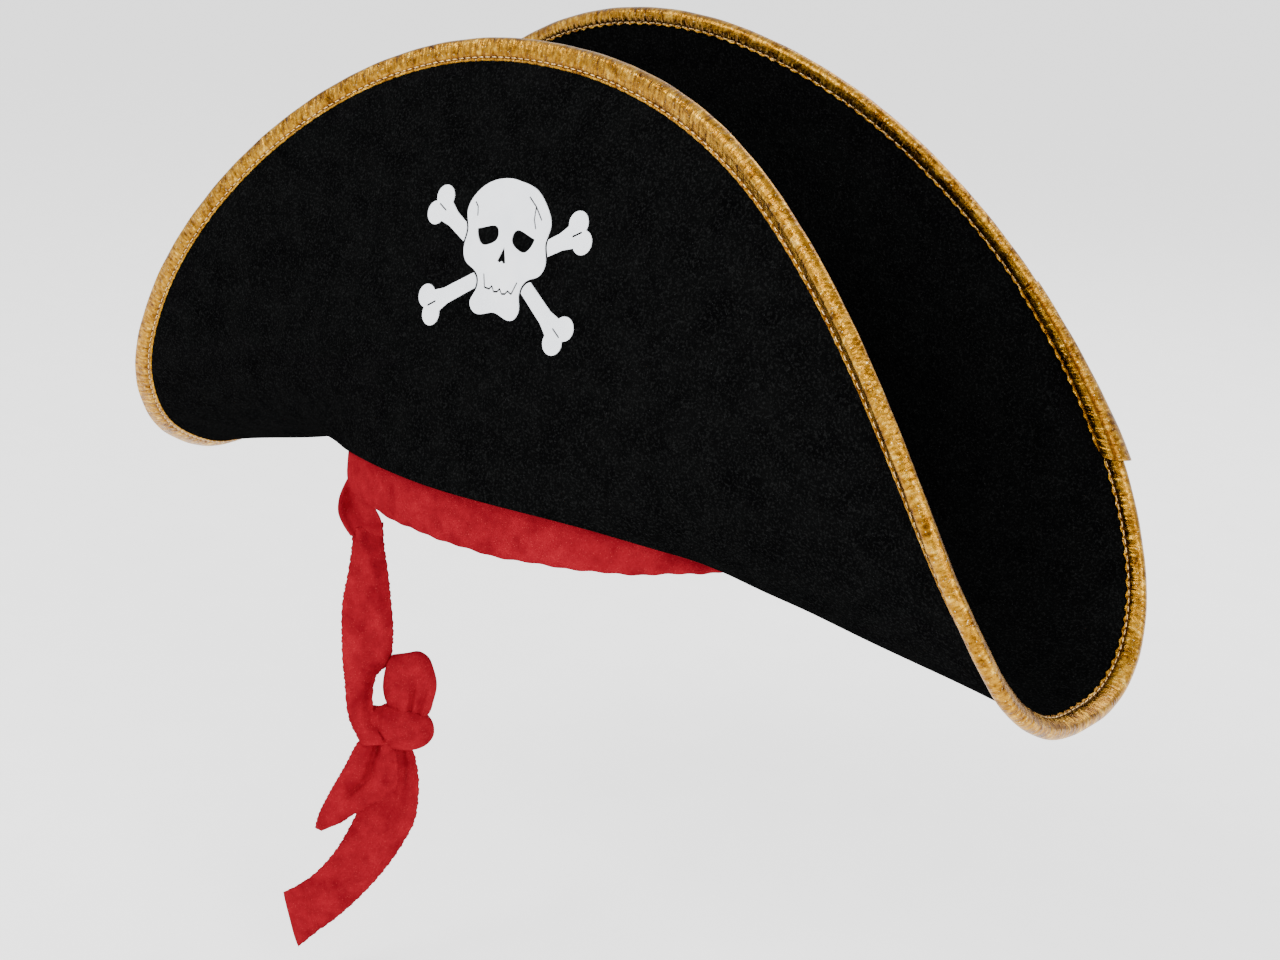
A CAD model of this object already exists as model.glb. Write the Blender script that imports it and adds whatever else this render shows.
import bpy
import numpy as np
from mathutils import Matrix, Vector


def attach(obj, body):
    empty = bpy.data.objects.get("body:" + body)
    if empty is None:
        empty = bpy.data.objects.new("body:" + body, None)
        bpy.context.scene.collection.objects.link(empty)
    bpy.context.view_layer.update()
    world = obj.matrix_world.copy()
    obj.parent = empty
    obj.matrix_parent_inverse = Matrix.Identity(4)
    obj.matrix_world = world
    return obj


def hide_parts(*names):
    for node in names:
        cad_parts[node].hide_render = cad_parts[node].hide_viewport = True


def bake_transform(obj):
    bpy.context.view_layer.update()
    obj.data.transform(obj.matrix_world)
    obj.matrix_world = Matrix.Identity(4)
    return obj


# Looks of the pirate hat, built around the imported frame. Lengths in the geometry below are in
# millimetres, in the frame of the CAD part, and mesh_object() turns them into metres.

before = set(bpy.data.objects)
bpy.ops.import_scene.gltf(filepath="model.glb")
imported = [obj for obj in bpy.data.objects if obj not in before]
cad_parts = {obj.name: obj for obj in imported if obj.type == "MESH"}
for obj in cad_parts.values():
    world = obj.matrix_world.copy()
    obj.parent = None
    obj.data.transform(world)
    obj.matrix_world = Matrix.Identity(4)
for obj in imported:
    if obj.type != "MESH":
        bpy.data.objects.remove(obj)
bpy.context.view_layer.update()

# ---- the CAD part's dimensions that the cloth follows ---------------------------------------------
OPENING_HALF_LENGTH = 110.0     # fold line of the brim, ear to ear
OPENING_HALF_WIDTH = 76.0       # fold line of the brim, front to back
OPENING_Y = -2.6
FOLD_DIP = 16.5                 # how far the fold drops at the ears
FOLD_DIP_SKEW = 3.5             # the +X side drops this much more, the -X side this much less
BRIM_HALF_SPAN = 252.0          # the brim's edge is a closed curve: see brim_edge
BRIM_HALF_DEPTH = 64.5
BRIM_EDGE_MEAN_Z = 54.6
BRIM_EDGE_RISE = 108.6
FLAP_BULGE = 4.0                # outward swell of the front and back flaps
HORN_SAG = (6.0, -3.0)          # droop of a horn's underside at one and two thirds of its length
BRIM_THICKNESS = 3.0
SEAM_THICKNESS = 2.0
VELOUR = 0.8
CROWN_HEIGHT = 92.0
CROWN_TOP_RADIUS = 250.0
CROWN_SEAM_INSET = 2.4
CROWN_LEVELS = ((105.0, 68.5, 30.0), (88.0, 46.0, 68.0), (72.0, 38.5, 92.0))
TIE_ORIGIN = np.array([-74.0, -42.0, 0.0])
ACROSS = np.array([0.7744, 0.6327, 0.0])        # to the right in the tie's own plane
FORWARD = np.array([0.6327, -0.7744, 0.0])      # out of its front
BLEND = 5.0                     # degrees between the control rows of the brim and the crown
HAT = "hat"                     # the body that carries everything but the tie


# ---- helpers: surfaces ----------------------------------------------------------------------------
def sin(a):
    return np.sin(np.radians(a))


def cos(a):
    return np.cos(np.radians(a))


def vec(x, y, z):
    x, y, z = np.broadcast_arrays(x, y, z)
    return np.stack([x, y, z], axis=-1).astype(float)


def unit(v):
    return v / np.maximum(np.linalg.norm(v, axis=-1, keepdims=True), 1e-9)


def step(x, low, high):
    """Smooth step from 0 at low to 1 at high."""
    t = np.clip((x - low) / (high - low), 0.0, 1.0)
    return t * t * (3.0 - 2.0 * t)


def hump(x, centre, width):
    return np.exp(-(((x - centre) / width) ** 2))


def signed(a):
    """Angle brought between -180 and 180 degrees."""
    return (a + 180) % 360 - 180


def smooth_line(points, t):
    """Cubic line through points, at parameters t from 0 to 1 along it."""
    p = np.array(points, float)
    d = np.concatenate([[0.0], np.cumsum(np.linalg.norm(np.diff(p, axis=0), axis=1))])
    d /= d[-1]
    m = np.gradient(p, d, axis=0)
    k = np.clip(np.searchsorted(d, t, side="right") - 1, 0, len(d) - 2)
    h = (d[k + 1] - d[k])[:, None]
    x = (t - d[k])[:, None] / h
    start = (2 * x ** 3 - 3 * x ** 2 + 1) * p[k] + (x ** 3 - 2 * x ** 2 + x) * h * m[k]
    end = (3 * x ** 2 - 2 * x ** 3) * p[k + 1] + (x ** 3 - x ** 2) * h * m[k + 1]
    return start + end


# Angles a run round the hat: 0 is the middle of the front flap, 90 the +X horn, 180 the back.
def fold_z(a):
    s = sin(a)
    return -np.abs(s) ** 3 * (FOLD_DIP + FOLD_DIP_SKEW * s)


def oval(a, half_length, half_width, z):
    return vec(half_length * sin(a), OPENING_Y - half_width * cos(a), z)


def opening(a, inset, z):
    """Point inside the fold line's oval by an inset."""
    return oval(a, OPENING_HALF_LENGTH - inset, OPENING_HALF_WIDTH - inset, z)


def brim_edge(a):
    x = BRIM_HALF_SPAN * sin(a) - 3.2 * sin(2 * a) + 18.0 * sin(3 * a)
    y = 0.5 - BRIM_HALF_DEPTH * cos(a) + 1.3 * cos(2 * a) + 26.2 * cos(3 * a)
    z = BRIM_EDGE_MEAN_Z + BRIM_EDGE_RISE * cos(2 * a) + 5.0 * cos(4 * a) - 1.8 * cos(a) - 3.7 * cos(3 * a)
    return vec(x, y, z)


def brim_row(a, s):
    """The brim's outer face before its rows are smoothed; s runs from the fold to the edge."""
    fold = opening(a, 0.0, fold_z(a))
    run = brim_edge(a) - fold
    swell = vec(0.0, -FLAP_BULGE * cos(a), 0.0)
    sag = sin(a) ** 2
    low = fold + run / 3 + swell - vec(0.0, 0.0, HORN_SAG[0] * sag)
    high = fold + run * 2 / 3 + swell - vec(0.0, 0.0, HORN_SAG[1] * sag)
    s = np.asarray(s, float)[..., None]
    r = 1 - s
    return r ** 3 * fold + 3 * r ** 2 * s * low + 3 * r * s ** 2 * high + s ** 3 * (fold + run)


def brim_face(a, s):
    return (brim_row(a - BLEND, s) + 4 * brim_row(a, s) + brim_row(a + BLEND, s)) / 6


def brim_normal(a, s):
    along = brim_face(a + 0.5, s) - brim_face(a - 0.5, s)
    across = brim_face(a, s + 0.01) - brim_face(a, s - 0.01)
    return unit(np.cross(along, across))


PRINT_ANGLE = 5


def ripple(a, s):
    """Gentle unevenness of the foam and cloth, none where the print is pressed on."""
    calm = step(np.abs(signed(a - PRINT_ANGLE)), 42, 62)
    wave = 0.5 * sin(7 * a + 140 * s) + 0.35 * sin(13 * a - 210 * s + 40) + 0.3 * sin(23 * a + 330 * s)
    return 0.6 * wave * calm * step(s, 0.0, 0.25)


def brim_length(a):
    return np.linalg.norm(brim_edge(a) - opening(a, 0.0, fold_z(a)), axis=-1)


FLARE_RUN = 9.0                 # width of the strip along the edge that flares outward


def rim_face(a, s):
    """The brim's outer face, its edge drawn in or carried out, flared and lifted; s = 1 is the edge."""
    turn = signed(a)
    front_right = step(turn, 0.0, 26.0) * (1 - step(turn, 64.0, 93.0))
    flare = 0.4 + 3.8 * front_right
    drawn_in = 1.5 + 2.6 * hump(turn, -74.0, 34.0) - 6.0 * front_right
    length = brim_length(a)
    near = np.maximum(1 - (1 - s) * length / FLARE_RUN, 0.0)
    back = flare ** 2 * near ** 3 * 2 / (3 * FLARE_RUN)
    t = s - (s * drawn_in + back) / length
    lifted = 4.6 * hump(turn, 92.0, 24.0) * np.clip(s, 0, None) ** 3
    return brim_face(a, t) + brim_normal(a, t) * (flare * near ** 2)[..., None] + vec(0.0, 0.0, lifted)


def rim_normal(a, s):
    along = rim_face(a + 0.5, s) - rim_face(a - 0.5, s)
    across = rim_face(a, s + 0.01) - rim_face(a, s - 0.01)
    return unit(np.cross(along, across))


def brim(a, s, depth):
    """Point at a depth below the brim's outer face."""
    return rim_face(a, s) + rim_normal(a, s) * (ripple(a, s) - depth)[..., None]


def crown_row(a, inset, s):
    """The crown wall before its rows are smoothed; s runs from the seam to the tip."""
    poles = [opening(a, CROWN_SEAM_INSET + inset, fold_z(a) + 0.6)]
    for half_length, half_width, z in CROWN_LEVELS:
        poles.append(oval(a, half_length - inset, half_width - inset, z))
    top = poles[3]
    flat = top[..., 0] ** 2 + (top[..., 1] - OPENING_Y) ** 2
    top[..., 2] = CROWN_HEIGHT - CROWN_TOP_RADIUS + np.sqrt(CROWN_TOP_RADIUS ** 2 - flat)
    s = np.asarray(s, float)[..., None]
    r = 1 - s
    return r ** 3 * poles[0] + 3 * r ** 2 * s * poles[1] + 3 * r * s ** 2 * poles[2] + s ** 3 * top


def crown(a, inset, s):
    beside = crown_row(a - BLEND, inset, s), crown_row(a + BLEND, inset, s)
    return (beside[0] + 4 * crown_row(a, inset, s) + beside[1]) / 6


def tie_point(w, z, n):
    """The tie's own plane: w to the right, z up, n to its front."""
    w, z, n = np.broadcast_arrays(w, z, n)
    place = TIE_ORIGIN + w[..., None] * ACROSS + n[..., None] * FORWARD
    place[..., 2] += z
    return place


# ---- helpers: meshes ------------------------------------------------------------------------------
def mesh_object(name, points, faces, uvs=None):
    mesh = bpy.data.meshes.new(name)
    mesh.from_pydata((np.asarray(points) * 0.001).tolist(), [], faces)
    if uvs is not None:
        layer = mesh.uv_layers.new(name="cloth")
        layer.data.foreach_set("uv", np.asarray(uvs, np.float32).ravel())
    mesh.polygons.foreach_set("use_smooth", [True] * len(mesh.polygons))
    mesh.update()
    obj = bpy.data.objects.new(name, mesh)
    bpy.context.scene.collection.objects.link(obj)
    return obj


def grid_object(name, points, loop_u=False, loop_v=False, capped=False):
    """Mesh over points[u, v]. loop_* closes a direction; capped closes both ends of u."""
    nu, nv = points.shape[:2]
    count_u, count_v = nu if loop_u else nu - 1, nv if loop_v else nv - 1
    i, j = np.meshgrid(np.arange(count_u), np.arange(count_v), indexing="ij")
    p, q = (i + 1) % nu, (j + 1) % nv
    quads = np.stack([i * nv + j, p * nv + j, p * nv + q, i * nv + q], -1).reshape(-1, 4)
    wrapped = np.concatenate([points, points[:1]], 0) if loop_u else points
    wrapped = np.concatenate([wrapped, wrapped[:, :1]], 1) if loop_v else wrapped
    along = np.linalg.norm(np.diff(wrapped, axis=0), axis=-1).mean(1)
    across = np.linalg.norm(np.diff(wrapped, axis=1), axis=-1).mean(0)
    u = np.concatenate([[0.0], np.cumsum(along)])
    v = np.concatenate([[0.0], np.cumsum(across)])
    uvs = np.stack([np.stack([u[i], v[j]], -1), np.stack([u[i + 1], v[j]], -1),
                    np.stack([u[i + 1], v[j + 1]], -1), np.stack([u[i], v[j + 1]], -1)], 2).reshape(-1, 2)
    faces = quads.tolist()
    if capped:
        ends = [list(range(nv)), [(nu - 1) * nv + k for k in range(nv)][::-1]]
        faces += ends
        uvs = np.concatenate([uvs, np.zeros((2 * nv, 2))])
    obj = mesh_object(name, points.reshape(-1, 3), faces, uvs * 0.001)
    return outward(obj)


def outward(obj):
    """Turns a closed mesh so that its faces look out."""
    mesh = obj.data
    mesh.calc_loop_triangles()
    at = np.empty(len(mesh.vertices) * 3)
    mesh.vertices.foreach_get("co", at)
    at = at.reshape(-1, 3)
    tri = np.empty(len(mesh.loop_triangles) * 3, int)
    mesh.loop_triangles.foreach_get("vertices", tri)
    a, b, c = (at[tri.reshape(-1, 3)[:, k]] for k in range(3))
    if (a * np.cross(b, c)).sum() < 0:
        mesh.flip_normals()
    return obj


def stitches(name, centres, along, out, length, radius):
    """Short lengths of thread: one rounded dash at each centre, dipping at both ends."""
    rings, sides = 7, 6
    t = np.linspace(-1, 1, rings)
    turn = np.arange(sides) * 2 * np.pi / sides
    side = unit(np.cross(along, out))
    thick = radius * np.sqrt(np.clip(1.05 - t ** 4, 0.05, 1))
    core = centres[:, None] + along[:, None] * (t * length / 2)[None, :, None]
    core = core - out[:, None] * (radius * 1.1 * t ** 4)[None, :, None]
    thick = thick[None, :, None, None]
    ring = side[:, None, None] * (np.cos(turn)[None, None, :, None] * thick)
    ring = ring + out[:, None, None] * (np.sin(turn)[None, None, :, None] * thick)
    points = (core[:, :, None] + ring).reshape(-1, 3)
    faces = []
    for n in range(len(centres)):
        base = n * rings * sides
        for r in range(rings - 1):
            for k in range(sides):
                a = base + r * sides + k
                b = base + r * sides + (k + 1) % sides
                faces.append((a, b, b + sides, a + sides))
        faces.append(tuple(base + k for k in range(sides))[::-1])
        faces.append(tuple(base + (rings - 1) * sides + k for k in range(sides)))
    return outward(mesh_object(name, points, faces))


def layers(front, back):
    """Rows of a cloth's two faces joined into loops: up the front and down the back."""
    return np.concatenate([front, back[:, ::-1]], axis=1)


# ---- helpers: materials ---------------------------------------------------------------------------
class Finish:
    """A node material that is built up one node at a time."""

    def __init__(self, name, **sockets):
        self.material = bpy.data.materials.new(name)
        self.material.use_nodes = True
        self.tree = self.material.node_tree
        self.shader = self.tree.nodes["Principled BSDF"]
        for key, value in sockets.items():
            self.shader.inputs[key.replace("_", " ")].default_value = value
        self.coords = self.tree.nodes.new("ShaderNodeTexCoord")

    def node(self, kind, sockets=None, **settings):
        made = self.tree.nodes.new("ShaderNode" + kind)
        for key, value in settings.items():
            setattr(made, key, value)
        for key, value in (sockets or {}).items():
            if isinstance(value, bpy.types.NodeSocket):
                self.tree.links.new(value, made.inputs[key])
            else:
                made.inputs[key].default_value = value
        return made

    def place(self, uv=False, scale=(1, 1, 1)):
        source = self.coords.outputs["UV" if uv else "Object"]
        return self.node("Mapping", {"Vector": source, "Scale": scale}).outputs[0]

    def noise(self, place, scale, detail=3.0, rough=0.6):
        made = self.node("TexNoise", {"Vector": place, "Scale": scale, "Detail": detail, "Roughness": rough})
        return made.outputs["Fac"]

    def ramp(self, fac, stops):
        made = self.node("ValToRGB", {"Fac": fac})
        ramp = made.color_ramp
        while len(ramp.elements) < len(stops):
            ramp.elements.new(0.5)
        for element, (at, colour) in zip(ramp.elements, stops):
            element.position = at
            element.color = (*colour, 1) if hasattr(colour, "__len__") else (colour, colour, colour, 1)
        return made.outputs["Color"]

    def math(self, kind, a, b=0.5):
        return self.node("Math", {0: a, 1: b}, operation=kind).outputs[0]

    def mix(self, fac, a, b, kind="MIX"):
        made = self.node("Mix", data_type="RGBA", blend_type=kind)
        for index, value in ((0, fac), (6, a), (7, b)):
            if isinstance(value, bpy.types.NodeSocket):
                self.tree.links.new(value, made.inputs[index])
            else:
                made.inputs[index].default_value = value if index == 0 else (*value, 1)
        return made.outputs[2]

    def bump(self, height, strength, distance, before=None):
        sockets = {"Height": height, "Strength": strength, "Distance": distance}
        if before is not None:
            sockets["Normal"] = before
        return self.node("Bump", sockets).outputs[0]

    def into(self, **sockets):
        for key, value in sockets.items():
            self.tree.links.new(value, self.shader.inputs[key.replace("_", " ")])
        return self.material


def black_velour():
    f = Finish("black_velour", Roughness=1.0, Specular_IOR_Level=0.0)
    here = f.place()
    nap = f.noise(here, 90, 5, 0.65)
    base = f.ramp(nap, [(0.3, (0.0010, 0.0010, 0.0011)), (0.75, (0.0026, 0.0027, 0.0027))])
    pile = f.noise(here, 1150, 2, 0.7)
    base = f.mix(f.ramp(pile, [(0.5, 0.0), (0.75, 0.8)]), base, (0.0095, 0.0098, 0.0098))
    cell = f.node("TexVoronoi", {"Vector": here, "Scale": 420.0, "Randomness": 1.0})
    lint = f.math("LESS_THAN", cell.outputs["Distance"], 0.06)
    base = f.mix(f.math("MULTIPLY", lint, 0.4), base, (0.04, 0.04, 0.043))
    skin = f.bump(pile, 0.35, 0.0004)
    skin = f.bump(nap, 0.25, 0.0012, skin)
    return f.into(Base_Color=base, Normal=skin)


def red_velour():
    f = Finish("red_velour", Roughness=1.0, Specular_IOR_Level=0.0)
    here = f.place()
    patches = f.noise(here, 130, 4, 0.6)
    base = f.ramp(patches, [(0.25, (0.125, 0.0040, 0.0078)), (0.7, (0.250, 0.0085, 0.0155))])
    pile = f.noise(here, 1700, 3, 0.7)
    base = f.mix(f.ramp(pile, [(0.35, 0.5), (0.6, 0.0)]), base, (0.13, 0.0018, 0.005))
    cell = f.node("TexVoronoi", {"Vector": here, "Scale": 900.0, "Randomness": 1.0})
    lint = f.math("LESS_THAN", cell.outputs["Distance"], 0.14)
    base = f.mix(f.math("MULTIPLY", lint, 0.3), base, (0.62, 0.06, 0.06))
    skin = f.bump(pile, 0.4, 0.0004)
    skin = f.bump(patches, 0.3, 0.0010, skin)
    return f.into(Base_Color=base, Normal=skin)


TAPE_AROUND = 0.0217            # metres of tape from one hem to the other, over the edge


def gold_tape():
    f = Finish("gold_tape", Metallic=1.0, Roughness=0.3)
    cloth = f.place()
    foil = f.noise(cloth, 430, 4, 0.7)
    patch = f.noise(cloth, 150, 3, 0.6)
    spark = f.noise(cloth, 1100, 2, 0.7)
    weave = f.noise(f.place(uv=True, scale=(700, 160, 1)), 1.0, 2, 0.6)
    tone = f.math("ADD", f.math("MULTIPLY", weave, 0.3), f.math("MULTIPLY", patch, 0.25))
    tone = f.math("ADD", tone, f.math("MULTIPLY", foil, 0.45))
    base = f.ramp(tone, [(0.38, (0.060, 0.017, 0.0008)), (0.46, (0.22, 0.092, 0.0045)),
                         (0.55, (0.42, 0.205, 0.012)), (0.67, (0.86, 0.56, 0.10))])
    base = f.mix(f.ramp(spark, [(0.64, 0.0), (0.74, 0.6)]), base, (1.0, 0.88, 0.50))
    across = f.node("SeparateXYZ", {"Vector": f.place(uv=True)}).outputs[1]
    ribs = f.noise(f.place(uv=True, scale=(620, 60, 1)), 1.0, 1, 0.5)
    for hem, turned in ((0.0, 1), (TAPE_AROUND, -1)):
        depth = f.math("MULTIPLY", f.math("SUBTRACT", across, hem), 1000.0 * turned)
        band = f.ramp(f.math("MULTIPLY", depth, 0.1), [
            (0.0, 0.0), (0.09, 0.0), (0.13, 0.85), (0.20, 0.8), (0.28, 0.3), (0.40, 0.0)])
        groove = f.math("MULTIPLY", band, f.math("GREATER_THAN", depth, 0.0))
        base = f.mix(groove, base, (0.065, 0.016, 0.0015))
    rough = f.ramp(patch, [(0.3, 0.20), (0.7, 0.40)])
    skin = f.bump(ribs, 0.55, 0.0010)
    skin = f.bump(foil, 0.5, 0.0009, skin)
    skin = f.bump(weave, 0.3, 0.0004, skin)
    skin = f.bump(spark, 0.25, 0.0003, skin)
    return f.into(Base_Color=base, Roughness=rough, Normal=skin)


def gold_thread():
    f = Finish("gold_thread", Metallic=0.85, Roughness=0.38)
    twist = f.noise(f.place(), 1500, 2, 0.6)
    base = f.ramp(twist, [(0.3, (0.42, 0.22, 0.06)), (0.7, (0.95, 0.70, 0.34))])
    return f.into(Base_Color=base, Normal=f.bump(twist, 0.5, 0.0003))


def plain_cloth(name, dark, light, scale):
    """Woven or spun cloth with fine crossed threads."""
    f = Finish(name, Roughness=0.8, Specular_IOR_Level=0.25)
    here = f.place()
    x, y, z = f.node("SeparateXYZ", {"Vector": here}).outputs
    flat = f.math("ADD", x, f.math("MULTIPLY", y, 0.6))
    warp = f.math("SINE", f.math("MULTIPLY", flat, scale), 0.0)
    weft = f.math("SINE", f.math("MULTIPLY", z, scale), 0.0)
    weave = f.math("MULTIPLY", f.math("MULTIPLY", warp, weft), 0.5)
    fuzz = f.noise(here, 260, 4, 0.7)
    tone = f.math("ADD", f.math("MULTIPLY", weave, 0.4), fuzz)
    base = f.ramp(tone, [(0.3, dark), (0.75, light)])
    return f.into(Base_Color=base, Normal=f.bump(tone, 0.4, 0.0004))


def white_print():
    f = Finish("white_print", Roughness=0.42, Specular_IOR_Level=0.4)
    here = f.place()
    nap = f.noise(here, 900, 3, 0.7)
    patch = f.noise(here, 60, 3, 0.6)
    base = f.ramp(patch, [(0.3, (0.78, 0.81, 0.86)), (0.7, (0.88, 0.90, 0.93))])
    base = f.mix(f.ramp(nap, [(0.62, 0.0), (0.8, 0.18)]), base, (0.55, 0.58, 0.62))
    skin = f.bump(nap, 0.25, 0.0003)
    return f.into(Base_Color=base, Normal=skin)


def foam():
    f = Finish("foam", Roughness=0.9, Specular_IOR_Level=0.1)
    cell = f.node("TexVoronoi", {"Vector": f.place(), "Scale": 1500.0, "Randomness": 1.0})
    pore = cell.outputs["Distance"]
    base = f.ramp(pore, [(0.1, (0.02, 0.02, 0.02)), (0.6, (0.09, 0.09, 0.09))])
    return f.into(Base_Color=base, Normal=f.bump(pore, 0.5, 0.0005))


FINISHES = {
    "black_velour": black_velour(),
    "red_velour": red_velour(),
    "gold_tape": gold_tape(),
    "gold_thread": gold_thread(),
    "white_print": white_print(),
    "foam": foam(),
    "black_lining": plain_cloth("black_lining", (0.004, 0.004, 0.005), (0.016, 0.016, 0.018), 9000.0),
    "black_thread": plain_cloth("black_thread", (0.003, 0.003, 0.003), (0.02, 0.02, 0.02), 14000.0),
    "red_thread": plain_cloth("red_thread", (0.20, 0.004, 0.006), (0.50, 0.02, 0.025), 14000.0),
}


def finished(obj, slot, *nodes, body=HAT):
    """Gives a piece its material, its slot, the CAD nodes it stands for and its body."""
    obj.data.materials.clear()
    obj.data.materials.append(FINISHES[slot])
    if nodes:
        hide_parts(*nodes)
    if body:
        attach(obj, body)
    return obj


# ---- brim -----------------------------------------------------------------------------------------
RING = np.linspace(0, 360, 720, endpoint=False)[:, None]
RISE = np.linspace(0, 1, 84)[None, :]
FACE = rim_face(RING, RISE)
FACE_NORMAL = rim_normal(RING, RISE)
FACE_RIPPLE = ripple(RING, RISE)
FOAM_GAP = 0.05                 # between the foam and the velour on each side of it


def brim_cloth(name, depths, seam_depths):
    """Closed sheet between two depths; at the fold the layers are squeezed into the seam."""
    squeeze = (1 - RISE) ** 3
    faces = []
    for full, seam in zip(depths, seam_depths):
        depth = full + (seam - full) * squeeze
        faces.append(FACE + FACE_NORMAL * (FACE_RIPPLE - depth)[..., None])
    lip = brim(RING, np.array([[-0.004]]), np.array([[sum(seam_depths) / 2]]) + 0 * RING)
    return grid_object(name, np.concatenate([lip, layers(*faces)], axis=1), True, True)


foam_seam = SEAM_THICKNESS - VELOUR
foam_deep = BRIM_THICKNESS - VELOUR
outer_velour = brim_cloth("brim_outer_cloth", (0.0, VELOUR), (0.0, VELOUR))
inner_velour = brim_cloth("brim_inner_cloth", (foam_deep, BRIM_THICKNESS), (foam_seam, SEAM_THICKNESS))
stiffener = brim_cloth("brim_foam_sheet", (VELOUR + FOAM_GAP, foam_deep - FOAM_GAP),
                       (VELOUR + FOAM_GAP, foam_seam - FOAM_GAP))
finished(outer_velour, "black_velour", "brim_outer_velour")
finished(inner_velour, "black_velour", "brim_inner_velour")
finished(stiffener, "foam", "brim_foam_core")


# ---- gold binding ---------------------------------------------------------------------------------
# Height of the tape's outer face over the brim's face, against the distance from the brim's edge.
TAPE_PROFILE = (
    (0.0, 1.25), (1.4, 1.4), (2.8, 1.35), (3.9, 1.15), (4.7, 0.85), (5.2, 0.45), (5.6, 0.15),
    (5.9, 0.38), (6.3, 0.6), (6.7, 0.55), (7.0, 0.12),
)
LEG = np.array([c for c, h in TAPE_PROFILE])
LIFT = np.array([h for c, h in TAPE_PROFILE])
GROOVE = 5.6                    # the stitch line, from the edge
PUCKER = 3.4                    # stitch spacing
STITCH_LENGTH = 2.5
STITCH_RADIUS = 0.26
STITCH_STAND = 0.4              # middle of the thread over the brim's face
SCALLOP = 5.2                   # waves of the free hem of the inside leg
HEM_WAVE = (0.08, 0.36)         # depth of those waves on the outside and the inside leg
CAP_RISE = 0.72                 # how far the tape stands off the cut edge, over its half thickness


def leg_share(a, side):
    """Width of a leg over the profile's: the inside leg is narrower, and both widen at the horns."""
    turn = signed(a)
    return (1.0, 0.64)[side] * (1 + 0.55 * hump(turn, -80.0, 26.0) + 0.5 * hump(turn, 96.0, 20.0))


def tape_loop(a, arc, lift=0.0, flat=False):
    """Loops across the tape at angles a: up the outside leg, over the edge, down the inside leg."""
    inches = np.interp(np.linspace(0, 1, 26), np.linspace(0, 1, len(LEG)), LEG)
    length = brim_length(a)
    edge = np.ones_like(a)
    normal_edge = rim_normal(a, edge)
    rise = unit(rim_face(a, edge) - rim_face(a, edge - 0.01))
    pull = sin(arc * 360 / PUCKER)
    wave = sin(arc * 360 / SCALLOP + 40 * sin(arc * 360 / 47.0))
    drift = sin(arc * 360 / 31.0) * 0.5 + sin(arc * 360 / 17.3 + 60) * 0.5
    sides = []
    for side in (0, 1):
        rows = []
        for c in inches[::-1]:
            s = 1 - (c * leg_share(a, side) + HEM_WAVE[side] * wave * step(c, 5.4, 6.6)) / length
            if flat:
                h = np.full_like(a, 0.03)
            else:
                h = np.interp(c, LEG, LIFT) + lift
                h = h + 0.15 * pull * hump(c, 4.9, 1.6) + 0.09 * drift * hump(c, 2.8, 2.0)
                h = h + 0.10 * sin(arc * 360 / 1.9 + 130 * c) * hump(c, 3.6, 1.6)
            depth = -h if side == 0 else BRIM_THICKNESS + h
            rows.append(brim(a, s, depth))
        sides.append(np.stack(rows, 1))
    middle = brim(a, edge, BRIM_THICKNESS / 2 * edge)
    if flat:
        reach, stand = BRIM_THICKNESS / 2 + 0.05, 0.02
    else:
        reach, stand = BRIM_THICKNESS / 2 + LIFT[0] + lift + 0.1 * drift, CAP_RISE
    cap = []
    for turn in np.linspace(0, 180, 15)[1:-1]:
        out = normal_edge * (cos(turn) * reach * edge)[..., None]
        up = rise * (sin(turn) * reach * stand * edge)[..., None]
        cap.append(middle + out + up)
    return np.concatenate([sides[0], np.stack(cap, 1), sides[1][:, ::-1]], axis=1)


fine_angles = np.linspace(0, 360, 3601)
fine_steps = np.linalg.norm(np.diff(brim_edge(fine_angles), axis=0), axis=1)
fine_arcs = np.concatenate([[0.0], np.cumsum(fine_steps)])
arc_total = fine_arcs[-1]
even_arcs = np.linspace(0, arc_total, 2400, endpoint=False)
even_angles = np.interp(even_arcs, fine_arcs, fine_angles)
tape_out = tape_loop(even_angles, even_arcs)
tape_in = tape_loop(even_angles, even_arcs, flat=True)
binding = grid_object("edge_binding_tape", layers(tape_out, tape_in), True, True)
finished(binding, "gold_tape", "edge_binding")

LAP_ENDS = (130.0, 145.0)       # degrees round the hat: the cut end, and where the lap lies flat
LAP_STAND = 3.0                 # how far the cut end stands off the tape below it
LAP_CLOTH = 0.45
LAP_SLANT = 0.11                # share of the lap's run that its hems are cut back by
LAP_SHIFT = 1.3                 # so that the lap's creases aren't those of the tape below it
lap_arcs = np.interp(LAP_ENDS, fine_angles, fine_arcs)
lap_run = np.linspace(lap_arcs[0], lap_arcs[1], 130)
lap_angles = np.interp(lap_run, fine_arcs, fine_angles)
loose = np.linspace(1, 0, len(lap_run))
lap_stand = 0.25 + LAP_STAND * loose ** 2


def cut_aslant(loops, slant):
    """Rows of loops[run, across] gathered so that the first row starts later at both hems."""
    run, across = loops.shape[:2]
    at = np.arange(run)
    start = slant * (run - 1) * np.abs(np.linspace(-1, 1, across)) ** 1.5
    cut = np.empty_like(loops)
    for j in range(across):
        where = start[j] + at * (run - 1 - start[j]) / (run - 1)
        for axis in range(3):
            cut[:, j, axis] = np.interp(where, at, loops[:, j, axis])
    return cut


lap_outer = cut_aslant(tape_loop(lap_angles, lap_run + LAP_SHIFT, lift=lap_stand + LAP_CLOTH), LAP_SLANT)
lap_inner = cut_aslant(tape_loop(lap_angles, lap_run + LAP_SHIFT, lift=lap_stand), LAP_SLANT)
lap = grid_object("binding_lapped_end", layers(lap_outer, lap_inner), False, True, True)
finished(lap, "gold_tape", "binding_lap_end")

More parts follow.
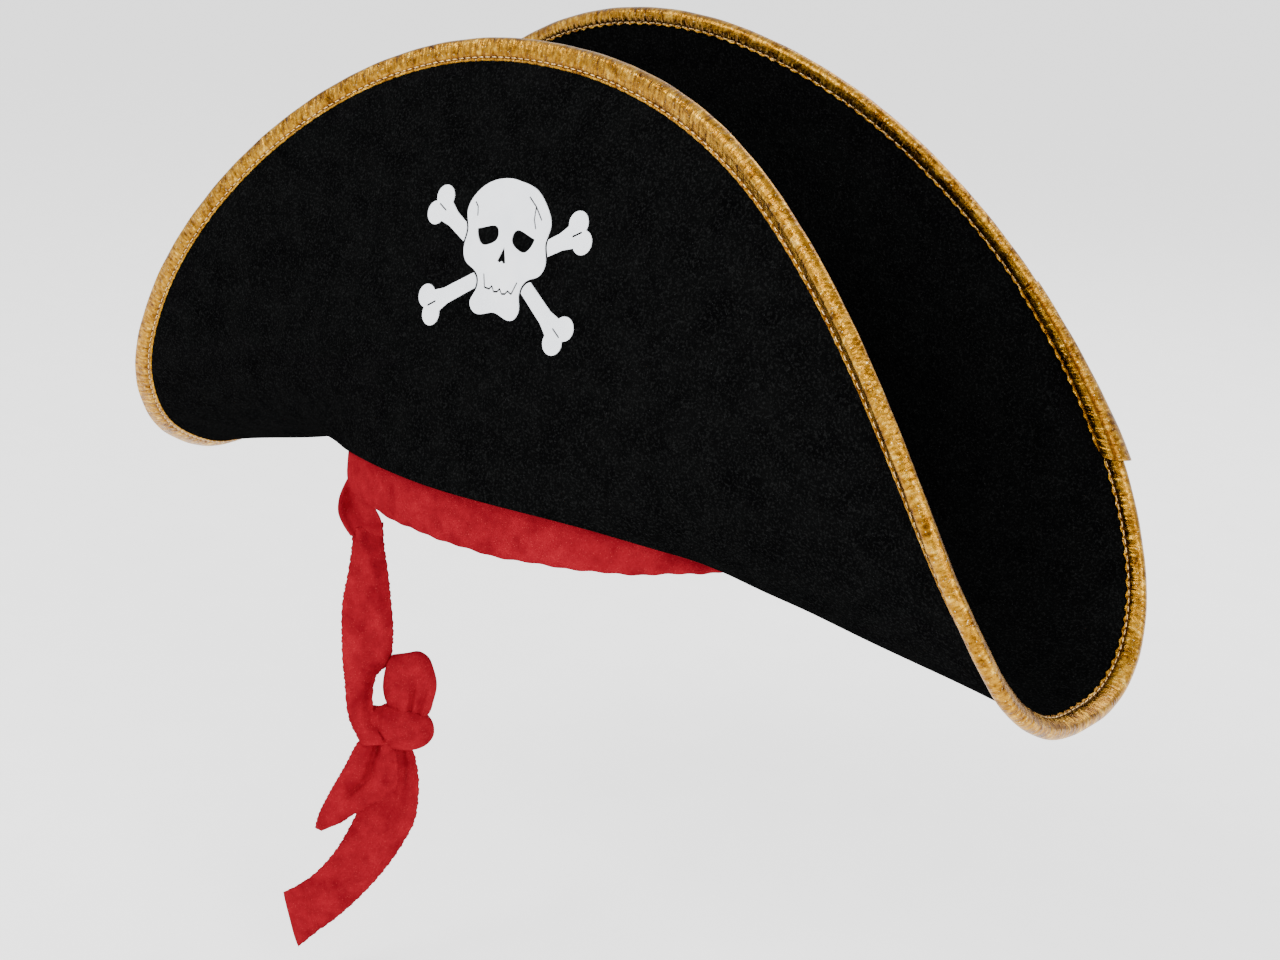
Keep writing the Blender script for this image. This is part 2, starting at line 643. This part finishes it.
stitch_count = round(arc_total / PUCKER)
stitch_angles = np.interp(np.arange(stitch_count) * arc_total / stitch_count, fine_arcs, fine_angles)
stitch_centres, stitch_along, stitch_out = [], [], []
for side, stitch_depth in enumerate((-STITCH_STAND, BRIM_THICKNESS + STITCH_STAND)):
    stitch_s = 1 - leg_share(stitch_angles, side) * GROOVE / brim_length(stitch_angles)
    ahead, behind = rim_face(stitch_angles + 0.2, stitch_s), rim_face(stitch_angles - 0.2, stitch_s)
    stitch_centres.append(brim(stitch_angles, stitch_s, np.full_like(stitch_s, stitch_depth)))
    stitch_along.append(unit(ahead - behind))
    stitch_out.append(rim_normal(stitch_angles, stitch_s) * (1, -1)[side])
tape_stitches = stitches("binding_thread", np.concatenate(stitch_centres), np.concatenate(stitch_along),
                         np.concatenate(stitch_out), STITCH_LENGTH, STITCH_RADIUS)
finished(tape_stitches, "gold_thread", "binding_stitching")


# ---- crown ----------------------------------------------------------------------------------------
def crown_creases(a, s):
    """Soft upright gathers under the tip and above the seam."""
    top = 0.9 * sin(11 * a + 60 * s) * hump(s, 0.95, 0.25) * np.clip(1 - s, 0, 1) * 3
    low = 0.7 * sin(8 * a + 90) * hump(s, 0.35, 0.25)
    return -0.6 * np.abs(top) - 0.35 * np.abs(low)


SEAM_BITE = 0.3                 # how far the wall's foot presses into the brim's inner cloth
FOOT_RUN = 0.14                 # share of the wall's height over which its foot turns out
SIDE_GAP = 0.3                  # degrees from each wall's ends to the side seam


def crown_sheet(name, angles, levels, insets, closed):
    a, s = angles[:, None], levels[None, :]
    middle = np.array([0.0, OPENING_Y, 0.0])
    # the foot of the wall turns out to the brim's seam, where the two are sewn together
    seam = brim(a, np.zeros_like(a), SEAM_THICKNESS - SEAM_BITE)
    foot = (seam - crown(a, 0.0, np.zeros_like(a))) * (np.clip(1 - s / FOOT_RUN, 0, 1) ** 2)[..., None]
    faces = []
    for inset in insets:
        p = crown(a, inset, s) + foot
        away = unit((p - middle) * np.array([1.0, 1.0, 0.0]))
        faces.append(p + away * (crown_creases(a, s) * step(s, 0.05, 0.2))[..., None])
    return grid_object(name, layers(*faces), closed, True, not closed)


LEVELS = np.linspace(0, 1, 44)
for side, start in (("front", -90.0), ("back", 90.0)):
    wall_angles = np.linspace(start + SIDE_GAP, start + 180 - SIDE_GAP, 150)
    wall = crown_sheet(f"crown_{side}_cloth", wall_angles, LEVELS, (0.0, 1.0), False)
    finished(wall, "black_velour", f"crown_wall_{side}")
wall_lining = crown_sheet("crown_wall_lining_cloth", np.linspace(0, 360, 240, endpoint=False),
                          np.linspace(0.16, 0.985, 36), (1.2, 1.75), True)
finished(wall_lining, "black_lining", "crown_wall_lining")


def dome(name, half_length, half_width, radius, thickness, seam):
    """Oval plate of cloth on a large sphere, turned down a little at its seam."""
    turn = np.linspace(0, 360, 180, endpoint=False)[None, :]
    reach = np.concatenate([[0.02], np.linspace(0.06, 1.0, 30)])[:, None]
    faces = []
    for lift in (thickness, 0.0):
        x, y = half_length * reach * cos(turn), half_width * reach * sin(turn)
        z = CROWN_HEIGHT - CROWN_TOP_RADIUS + np.sqrt((radius + lift) ** 2 - x ** 2 - y ** 2)
        z = z - seam * step(reach, 0.93, 1.0) + 0.25 * seam * sin(22 * turn) * hump(reach, 0.94, 0.04)
        faces.append(vec(x, y + OPENING_Y, z))
    return grid_object(name, np.concatenate([faces[0], faces[1][::-1]], axis=0), False, True, True)


tip = dome("crown_tip_cloth", 72.4, 38.9, CROWN_TOP_RADIUS + 0.1, 1.0, 0.5)
tip_lining = dome("crown_tip_lining_cloth", 70.6, 37.1, CROWN_TOP_RADIUS - 0.7, 0.55, 0.1)
finished(tip, "black_velour", "crown_tip")
finished(tip_lining, "black_lining", "crown_tip_lining")


# ---- bands at the opening -------------------------------------------------------------------------
LAP_AT = -41.5                  # the headband's two ends meet here, one over the other
HEADBAND_BOTTOM = -22.5         # at the front and the back
HEADBAND_LIFT = 3.5             # its lower edge is this much higher over the ears
SWEATBAND_HEIGHT = 13.0
SWEAT_SEAM_DROP = 2.3           # stitching below the sweatband's top


def band_bottom(a):
    return HEADBAND_BOTTOM + HEADBAND_LIFT * sin(a) ** 2


def headband_ring():
    a = np.linspace(0, 360, 900, endpoint=False)[:, None]
    low = band_bottom(a) + 0.35 * sin(17 * a + 30) * sin(5 * a) + 0.2 * sin(61 * a)
    top = 3.0 + 0.6 * fold_z(a)
    gone = (a - (LAP_AT - 10)) % 360
    over = 1.7 * step(gone, 9.1, 10.2) * (1 - step(gone, 12.0, 46.0))
    turned_edge = [(0.0, -0.6), (0.015, 0.1), (0.05, 0.55), (0.12, 0.85)]
    rows = []
    for t, out in turned_edge + [(k, 1.0) for k in np.linspace(0.2, 1, 12)]:
        z = low + (top - low) * t
        puff = 0.7 * hump(t, 0.22, 0.25)
        drag = 0.28 * sin(9 * a + 200 * t) * hump(t, 0.45, 0.3) + 0.16 * sin(21 * a - 260 * t + 50)
        bulge = np.where(np.asarray(out) > 0.5, puff + drag * min(1.0, 4 * t) + over, 0.4 * over)
        rows.append(opening(a, 4.9 - 0.6 * out - bulge, z)[:, 0])
    for t in (1.0, 0.66, 0.33, 0.04):
        z = low + (top - low) * t
        rows.append(opening(a, 5.5, z)[:, 0])
    return grid_object("headband_cloth", np.stack(rows, 1), True, True)


def band(name, bottom, top, inset, thickness, count):
    a = np.linspace(0, 360, count, endpoint=False)[:, None]
    t = np.linspace(0, 1, 8)[None, :]
    z = bottom(a) + (top(a) - bottom(a)) * t
    wave = 0.12 * sin(26 * a + 90 * t)
    outer = opening(a, inset, z)
    inner = opening(a, inset + thickness + wave, z)
    return grid_object(name, layers(outer, inner), True, True)


def sweat_top(a):
    return 7.0 + 0.8 * fold_z(a)


headband = headband_ring()
sweatband = band("sweatband_cloth", lambda a: sweat_top(a) - SWEATBAND_HEIGHT, sweat_top, 5.6, 0.75, 480)
finished(headband, "red_velour", "headband")
finished(sweatband, "black_lining", "sweatband")



def sweat_seam(a):
    return opening(a, 6.6, sweat_top(a) - SWEAT_SEAM_DROP)


around = np.linspace(0, 360, 140, endpoint=False)
seam_along = unit(sweat_seam(around + 0.5) - sweat_seam(around - 0.5))
seam_out = unit(vec(-sin(around), cos(around), 0.0))
sweat_thread = stitches("sweatband_thread", sweat_seam(around), seam_along, seam_out, 3.0, 0.25)
finished(sweat_thread, "black_thread", "sweatband_stitching")


# ---- the tie --------------------------------------------------------------------------------------
TIE_COLUMNS = 34
FRAY = 0.35                     # unevenness of the tie's cut margins


def tie_cloth(name, left, right, relief, thickness, rows=110):
    """Cloth between a left and a right margin of (w, z); relief(u, v, w, z) gives its front face's n."""
    v = np.linspace(0, 1, rows)
    u = np.linspace(0, 1, TIE_COLUMNS)[None, :]
    a, b = smooth_line(left, v)[:, None, :], smooth_line(right, v)[:, None, :]
    v = v[:, None]
    fray = FRAY * (0.5 * sin(v * 360 * 23 + 40) + 0.5 * sin(v * 360 * 57))
    place = a + (b - a) * u[..., None]
    w = place[..., 0] + fray * (2 * u - 1) * step(np.abs(2 * u - 1), 0.6, 1.0)
    z = place[..., 1]
    n = relief(u, v, w, z)
    rim = 1 - np.abs(2 * u - 1) ** 8
    front = tie_point(w, z, n - 0.3 * thickness * (1 - rim))
    back = tie_point(w, z, n - thickness * (0.35 + 0.65 * rim))
    return grid_object(name, layers(front, back), False, True, True)


def root_relief(u, v):
    """Folded root: flat against the sweatband at the top, a soft rolled fold below the band."""
    hollow = -3.0 * hump(u, 0.42, 0.2) * step(v, 0.3, 0.55) * (1 - step(v, 0.66, 0.88))
    roll = 1.5 * hump(u, 0.06, 0.12) * step(v, 0.35, 0.6)
    return hollow + roll


ROOT_LEFT = (
    (-8.6, -3, -13), (-8.8, -12, -13), (-9.6, -20, -12.3), (-12.6, -26, -8.5), (-14.5, -32, -4.0),
    (-14.3, -37, -1.6), (-12.0, -42, -0.6), (-9.0, -46.6, -0.6),
)
ROOT_RIGHT = (
    (-5.0, -3, 8), (-4.9, -12, 8), (-4.4, -20, 7.6), (-1.5, -27, 6.2), (1.8, -33, 4.0),
    (3.8, -38, 2.0), (4.4, -42, 0.4), (4.4, -46.6, -0.6),
)


def root_cloth():
    """The tie's folded root, between two margins of (w, z, n)."""
    rows, columns = 80, 30
    v = np.linspace(0, 1, rows)
    u = np.linspace(0, 1, columns)[None, :]
    left, right = smooth_line(ROOT_LEFT, v), smooth_line(ROOT_RIGHT, v)
    v = v[:, None]
    bow = 4.0 * u * (1 - u) * (2.2 * (1 - step(v, 0.35, 0.75)))
    place = left[:, None] + (right - left)[:, None] * u[..., None]
    w = place[..., 0] - bow
    n = place[..., 2] + root_relief(u, v)
    ends = 1 - np.abs(2 * u - 1) ** 8
    # the cloth turns from facing the head to facing forward, so its thickness turns with it
    turn = step(v, 0.3, 0.75)
    thick = 1.5 * (0.35 + 0.65 * ends)
    front = tie_point(w, place[..., 1], n)
    back = tie_point(w + thick * (1 - turn), place[..., 1], n - thick * turn)
    return grid_object("tie_root_cloth", layers(front, back), False, True, True)


def strap_relief(u, v, w, z):
    """Soft ridge from the top left to the right side, and a rolled right edge above the knot."""
    ridge_w = np.interp(-z, [44, 49, 61, 83, 100], [-6.0, -4.4, 0.4, 4.2, 6.0])
    ridge = 1.3 * hump(w, ridge_w, 2.6) * (1 - step(-z, 84, 108))
    lean = -1.0 * hump(u, 0.3, 0.25) * step(-z, 50, 62) * (1 - step(-z, 84, 112))
    hollow = -3.0 * hump(u, 0.9, 0.22) * step(-z, 100, 112) * (1 - step(-z, 128, 134))
    cross = 7.8 * step(-z, 110, 132)
    side = -1.2 * np.abs(2 * u - 1) ** 3
    tucked = -2.3 * (1 - step(-z, 41, 54))
    return 1.2 + ridge + lean + hollow + cross + side + tucked + 0.15 * sin(w * 40 + z * 12)


STRAP_LEFT = (
    (-8.9, -43.5), (-8.5, -47.5), (-9.9, -62), (-12.4, -77), (-12.6, -94), (-11.3, -112), (-8.6, -126),
    (-2.6, -138.5),
)
STRAP_RIGHT = (
    (4.3, -41.0), (4.7, -47.0), (6.5, -59), (8.4, -74.5), (9.5, -93), (8.0, -103.5), (2.2, -111),
    (1.2, -120), (3.4, -128.5), (7.6, -137.5),
)
root = root_cloth()
strap = tie_cloth("tie_strap_cloth", STRAP_LEFT, STRAP_RIGHT, strap_relief, 1.8)

KNOT_MIDDLE = (12.3, -132.2, 0.2)       # w, z and n
KNOT_HALF_SIZE = (15.6, 9.9, 7.8)


def knot_cloth():
    """Cloth wound round the strap: a rounded bundle with slanting turns."""
    rows, columns = 90, 120
    v = np.linspace(0.0, 1.0, rows)[:, None]
    turn = np.linspace(0, 360, columns, endpoint=False)[None, :]
    along = -cos(v * 180)
    wide = np.sqrt(np.clip(1 - np.abs(along) ** 2.6, 0.0, 1)) + 0.012
    slant = along * 60
    turns = 0.11 * np.abs(sin(1.5 * (turn + slant) + 30)) - 0.12 * hump((turn + slant) % 360, 118, 10)
    turns = turns - 0.16 * hump((turn + slant * 0.6) % 360, 205, 9)
    turns = turns - 0.08 * hump((turn - slant) % 360, 300, 12)
    pinch = 1 - 0.16 * hump(along, -0.55, 0.16)
    body = wide * (0.94 + turns) * pinch
    w = KNOT_MIDDLE[0] + KNOT_HALF_SIZE[0] * along
    z = KNOT_MIDDLE[1] + KNOT_HALF_SIZE[1] * body * cos(turn) - 1.6 * along
    n = KNOT_MIDDLE[2] + KNOT_HALF_SIZE[2] * body * sin(turn)
    return grid_object("tie_knot_cloth", tie_point(w, z, n), False, True, True)


LOOP_OUTLINE = (
    (9.1, -99.5), (15.0, -98.4), (21.1, -97.4), (24.5, -99.5), (27.2, -105.4), (28.6, -112.2),
    (27.4, -119.5), (25.2, -126.0), (19.4, -129.0), (12.9, -128.0), (8.2, -123.5), (5.6, -116.5),
    (5.8, -108.9), (7.0, -103.6),
)
LOOP_MIDDLE = np.array([17.2, -112.8])
LOOP_PUFF = 6.3                 # half of the bow's fullness


def loop_cloth():
    """Puffy bow: a full fold of cloth with creases that run up out of the knot."""
    outline = np.array(LOOP_OUTLINE)
    closed = np.concatenate([outline, outline[:1]])
    rim = smooth_line(closed, np.linspace(0, 1, 121)[:-1])[None]
    v = np.linspace(0, 1, 56)[:, None]
    reach = np.concatenate([sin(v * 90), sin(v[-2::-1] * 90)], 0)
    front = np.concatenate([np.ones_like(v), -np.ones_like(v[:-1])], 0)
    reach = np.clip(reach, 0.012, 1.0)
    place = LOOP_MIDDLE + (rim - LOOP_MIDDLE) * reach[..., None]
    w, z = place[..., 0], place[..., 1]
    puff = LOOP_PUFF * np.sqrt(np.clip(1 - reach ** 2.4, 0, 1))
    first = 17.5 + 0.14 * (z + 124)
    second = 21.0 + 0.33 * (z + 124)
    third = 11.5 - 0.05 * (z + 124)
    low = step(-z, 104, 116)
    crease = 1.9 * hump(w, first, 1.3) * low + 1.6 * hump(w, second, 1.4) * step(-z, 106, 116)
    crease = crease + 0.8 * hump(w, third, 1.5) * step(-z, 114, 121)
    fold = 0.7 * sin(w * 26 + z * 9)
    n = front * (puff - np.minimum(crease, 0.8 * puff)) + fold * 0.35 * (1 - reach)
    return grid_object("tie_bow_cloth", tie_point(w, z, n), False, True, True)


def short_relief(u, v, w, z):
    """Two valleys run down out of the knot, with a full ridge between them."""
    fan = step(v, 0.0, 0.2)
    valley = -2.6 * hump(u, 0.50 - 0.10 * v, 0.08) * (1 - step(v, 0.5, 0.8))
    ridge = 1.8 * hump(u, 0.70, 0.13) * (1 - step(v, 0.55, 0.95))
    roll = -1.6 * step(u, 0.86, 1.0)
    slope = 0.8 * hump(u, 0.2, 0.25) * (1 - 0.5 * v)
    return 4.6 + (valley + ridge + slope) * fan + roll - 1.0 * (1 - fan) + 0.25 * sin(z * 22 + w * 30)


SHORT_LEFT = (
    (1.0, -131.5), (-3.4, -137.0), (-10.6, -151.5), (-17.1, -164.4), (-21.6, -175), (-22.9, -180.6),
)
SHORT_RIGHT = (
    (9.5, -131.5), (11.0, -140.0), (12.6, -152.0), (11.8, -161.5), (2.6, -168.4), (-7.4, -175.4),
    (-13.0, -179.6), (-19.6, -182.4),
)
short_tail = tie_cloth("short_tail_cloth", SHORT_LEFT, SHORT_RIGHT, short_relief, 1.5)


def long_relief(u, v, w, z):
    """Drape folds that start in the knot and fade along the tail, then a turned hem."""
    top = 1 - step(v, 0.18, 0.5)
    valley = -1.8 * hump(u, 0.62, 0.12) * top
    drape = 0.8 * sin(150 * u + 620 * v + 40) * (1 - step(v, 0.55, 0.9)) * step(v, 0.1, 0.3)
    bow = -1.1 * np.abs(2 * u - 1) ** 2
    hem = -0.55 * hump(v, 0.895, 0.008) + 0.35 * step(v, 0.9, 0.93)
    return 0.2 + valley + drape * 0.8 + bow + hem + 0.15 * sin(w * 21 - z * 17)


LONG_LEFT = (
    (6.0, -136.0), (4.0, -150.0), (-2.0, -166.0), (-8.2, -181.5), (-17.0, -197.5), (-25.9, -208.1),
    (-33.0, -213.4), (-37.9, -216.3),
)
LONG_RIGHT = (
    (16.0, -136.0), (20.4, -150.0), (21.5, -166.0), (20.0, -178.0), (15.6, -188.0), (7.4, -202.2),
    (-3.6, -216.8), (-14.7, -228.5), (-25.9, -238.4), (-31.4, -243.8),
)
long_tail = tie_cloth("long_tail_cloth", LONG_LEFT, LONG_RIGHT, long_relief, 1.5, rows=170)
knot = knot_cloth()
bow = loop_cloth()

finished(root, "red_velour", "tie_root", "tie_fold", body=None)
finished(strap, "red_velour", "tie_strap", body=None)
finished(knot, "red_velour", "tie_knot", body="tie")
finished(bow, "red_velour", "tie_bow_loop", body="tie")
finished(short_tail, "red_velour", "short_tail", body=None)
finished(long_tail, "red_velour", "long_tail", "long_tail_hem", body=None)


def metres(w, z, n=0.0):
    return tuple(float(x) for x in tie_point(np.array(w), np.array(z), np.array(n)) * 0.001)


metres(-7.0, -20.0)
metres(-7.0, -32.0)
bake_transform(root)
metres(-2.0, -44.5)
metres(-2.0, -54.0)
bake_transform(strap)
metres(5.0, -138.0)
metres(2.0, -154.0)
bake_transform(short_tail)
metres(14.0, -138.0)
metres(14.0, -156.0)
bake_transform(long_tail)

# ---- CAD nodes that stay: prints and threads ------------------------------------------------------
KEPT = {
    "skull_print": "white_print",
    "bone_print_upper_left": "white_print", "bone_print_upper_right": "white_print",
    "bone_print_lower_left": "white_print", "bone_print_lower_right": "white_print",
    "flap_tacks": "black_thread", "tie_tacks": "red_thread",
}
for node, finish in KEPT.items():
    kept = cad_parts[node]
    for place in kept.material_slots:
        place.material = FINISHES[finish]

# ---- floor, light and camera ----------------------------------------------------------------------
FLOOR_Z = -0.262
bpy.ops.mesh.primitive_plane_add(size=120, location=(0, 0, FLOOR_Z))
floor = bpy.context.object
floor.name = "studio_floor"
pale = Finish("studio_floor", Roughness=0.9, Specular_IOR_Level=0.1, Emission_Strength=0.85)
grain = pale.noise(pale.place(), 30, 3)
tones = pale.ramp(grain, [(0.3, (0.86, 0.86, 0.86)), (0.7, (0.9, 0.9, 0.9))])
floor.data.materials.append(pale.into(Base_Color=tones))

world = bpy.data.worlds.new("studio")
bpy.context.scene.world = world
world.use_nodes = True
world.node_tree.nodes["Background"].inputs["Color"].default_value = (1.0, 1.0, 1.0, 1)
world.node_tree.nodes["Background"].inputs["Strength"].default_value = 1.25

TARGET = Vector((0.0, 0.0, 0.0))


def softbox(name, place, size, power):
    light = bpy.data.lights.new(name, "AREA")
    light.shape = "RECTANGLE"
    light.size, light.size_y = size
    light.energy = power
    made = bpy.data.objects.new(name, light)
    made.location = place
    made.rotation_euler = (TARGET - Vector(place)).to_track_quat("-Z", "Y").to_euler()
    bpy.context.scene.collection.objects.link(made)


softbox("key", (-0.5, -1.5, 1.5), (1.0, 0.8), 40)
softbox("fill", (1.6, -0.6, 0.7), (0.9, 1.2), 28)
softbox("rim", (0.2, 1.5, 1.4), (1.4, 0.6), 22)

AZIMUTH, ELEVATION, ROLL = 39.25, 16.8, 3.1
DISTANCE, ASIDE, ABOVE = 749.0, 26.92, -10.83
LENS_MM, SENSOR_MM = 52.15, 36.0
back = Vector((sin(AZIMUTH) * cos(ELEVATION), -cos(AZIMUTH) * cos(ELEVATION), sin(ELEVATION)))
right = Vector((cos(AZIMUTH), sin(AZIMUTH), 0.0))
up = back.cross(right)
turned_right = right * cos(ROLL) + up * sin(ROLL)
turned_up = up * cos(ROLL) - right * sin(ROLL)
lens = bpy.data.cameras.new("camera")
lens.sensor_width = SENSOR_MM
lens.lens = LENS_MM
camera = bpy.data.objects.new("camera", lens)
pose = Matrix((turned_right, turned_up, back)).transposed().to_4x4()
pose.translation = (right * ASIDE + up * ABOVE + back * DISTANCE) * 0.001
camera.matrix_world = pose
bpy.context.scene.collection.objects.link(camera)
bpy.context.scene.camera = camera

bpy.context.view_layer.update()
